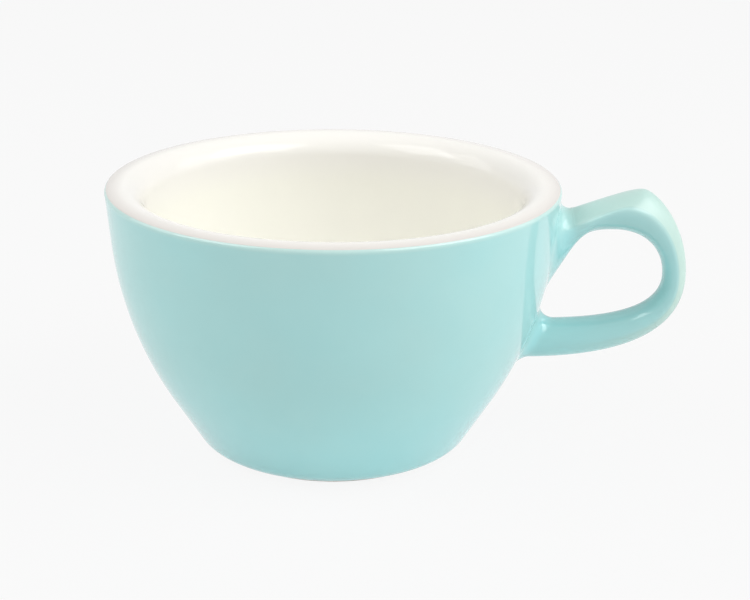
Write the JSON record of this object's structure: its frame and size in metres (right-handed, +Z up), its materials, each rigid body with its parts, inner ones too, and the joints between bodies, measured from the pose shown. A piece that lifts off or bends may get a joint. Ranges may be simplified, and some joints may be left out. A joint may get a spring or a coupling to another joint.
{
  "type": "coffee cup",
  "caption": "Wide glazed stoneware coffee cup with a white lined bowl on a narrow bare foot ring and an aqua loop handle with a raised thumb rest.",
  "frame": {"origin": "centre of the foot ring, on the plane the cup stands on", "axes": "+Z up along the bowl's axis, +X from the bowl towards the handle"},
  "size_m": [0.1407, 0.11, 0.0668],
  "materials": {
    "bare_stoneware": "unglazed, fine matte, bare only on the foot ring",
    "fired_slip": "fired luting slip, hidden inside the joints",
    "white_glaze": "smooth glossy white, slightly warm",
    "aqua_glaze": "smooth glossy pale aqua"
  },
  "bodies": {
    "root": {"bowl": "bare_stoneware", "liner_glaze": "white_glaze", "outer_glaze": "aqua_glaze", "base_glaze": "aqua_glaze", "handle": "bare_stoneware", "upper_slip_joint": "fired_slip", "lower_slip_joint": "fired_slip", "handle_glaze": "aqua_glaze"}
  },
  "joints": []
}
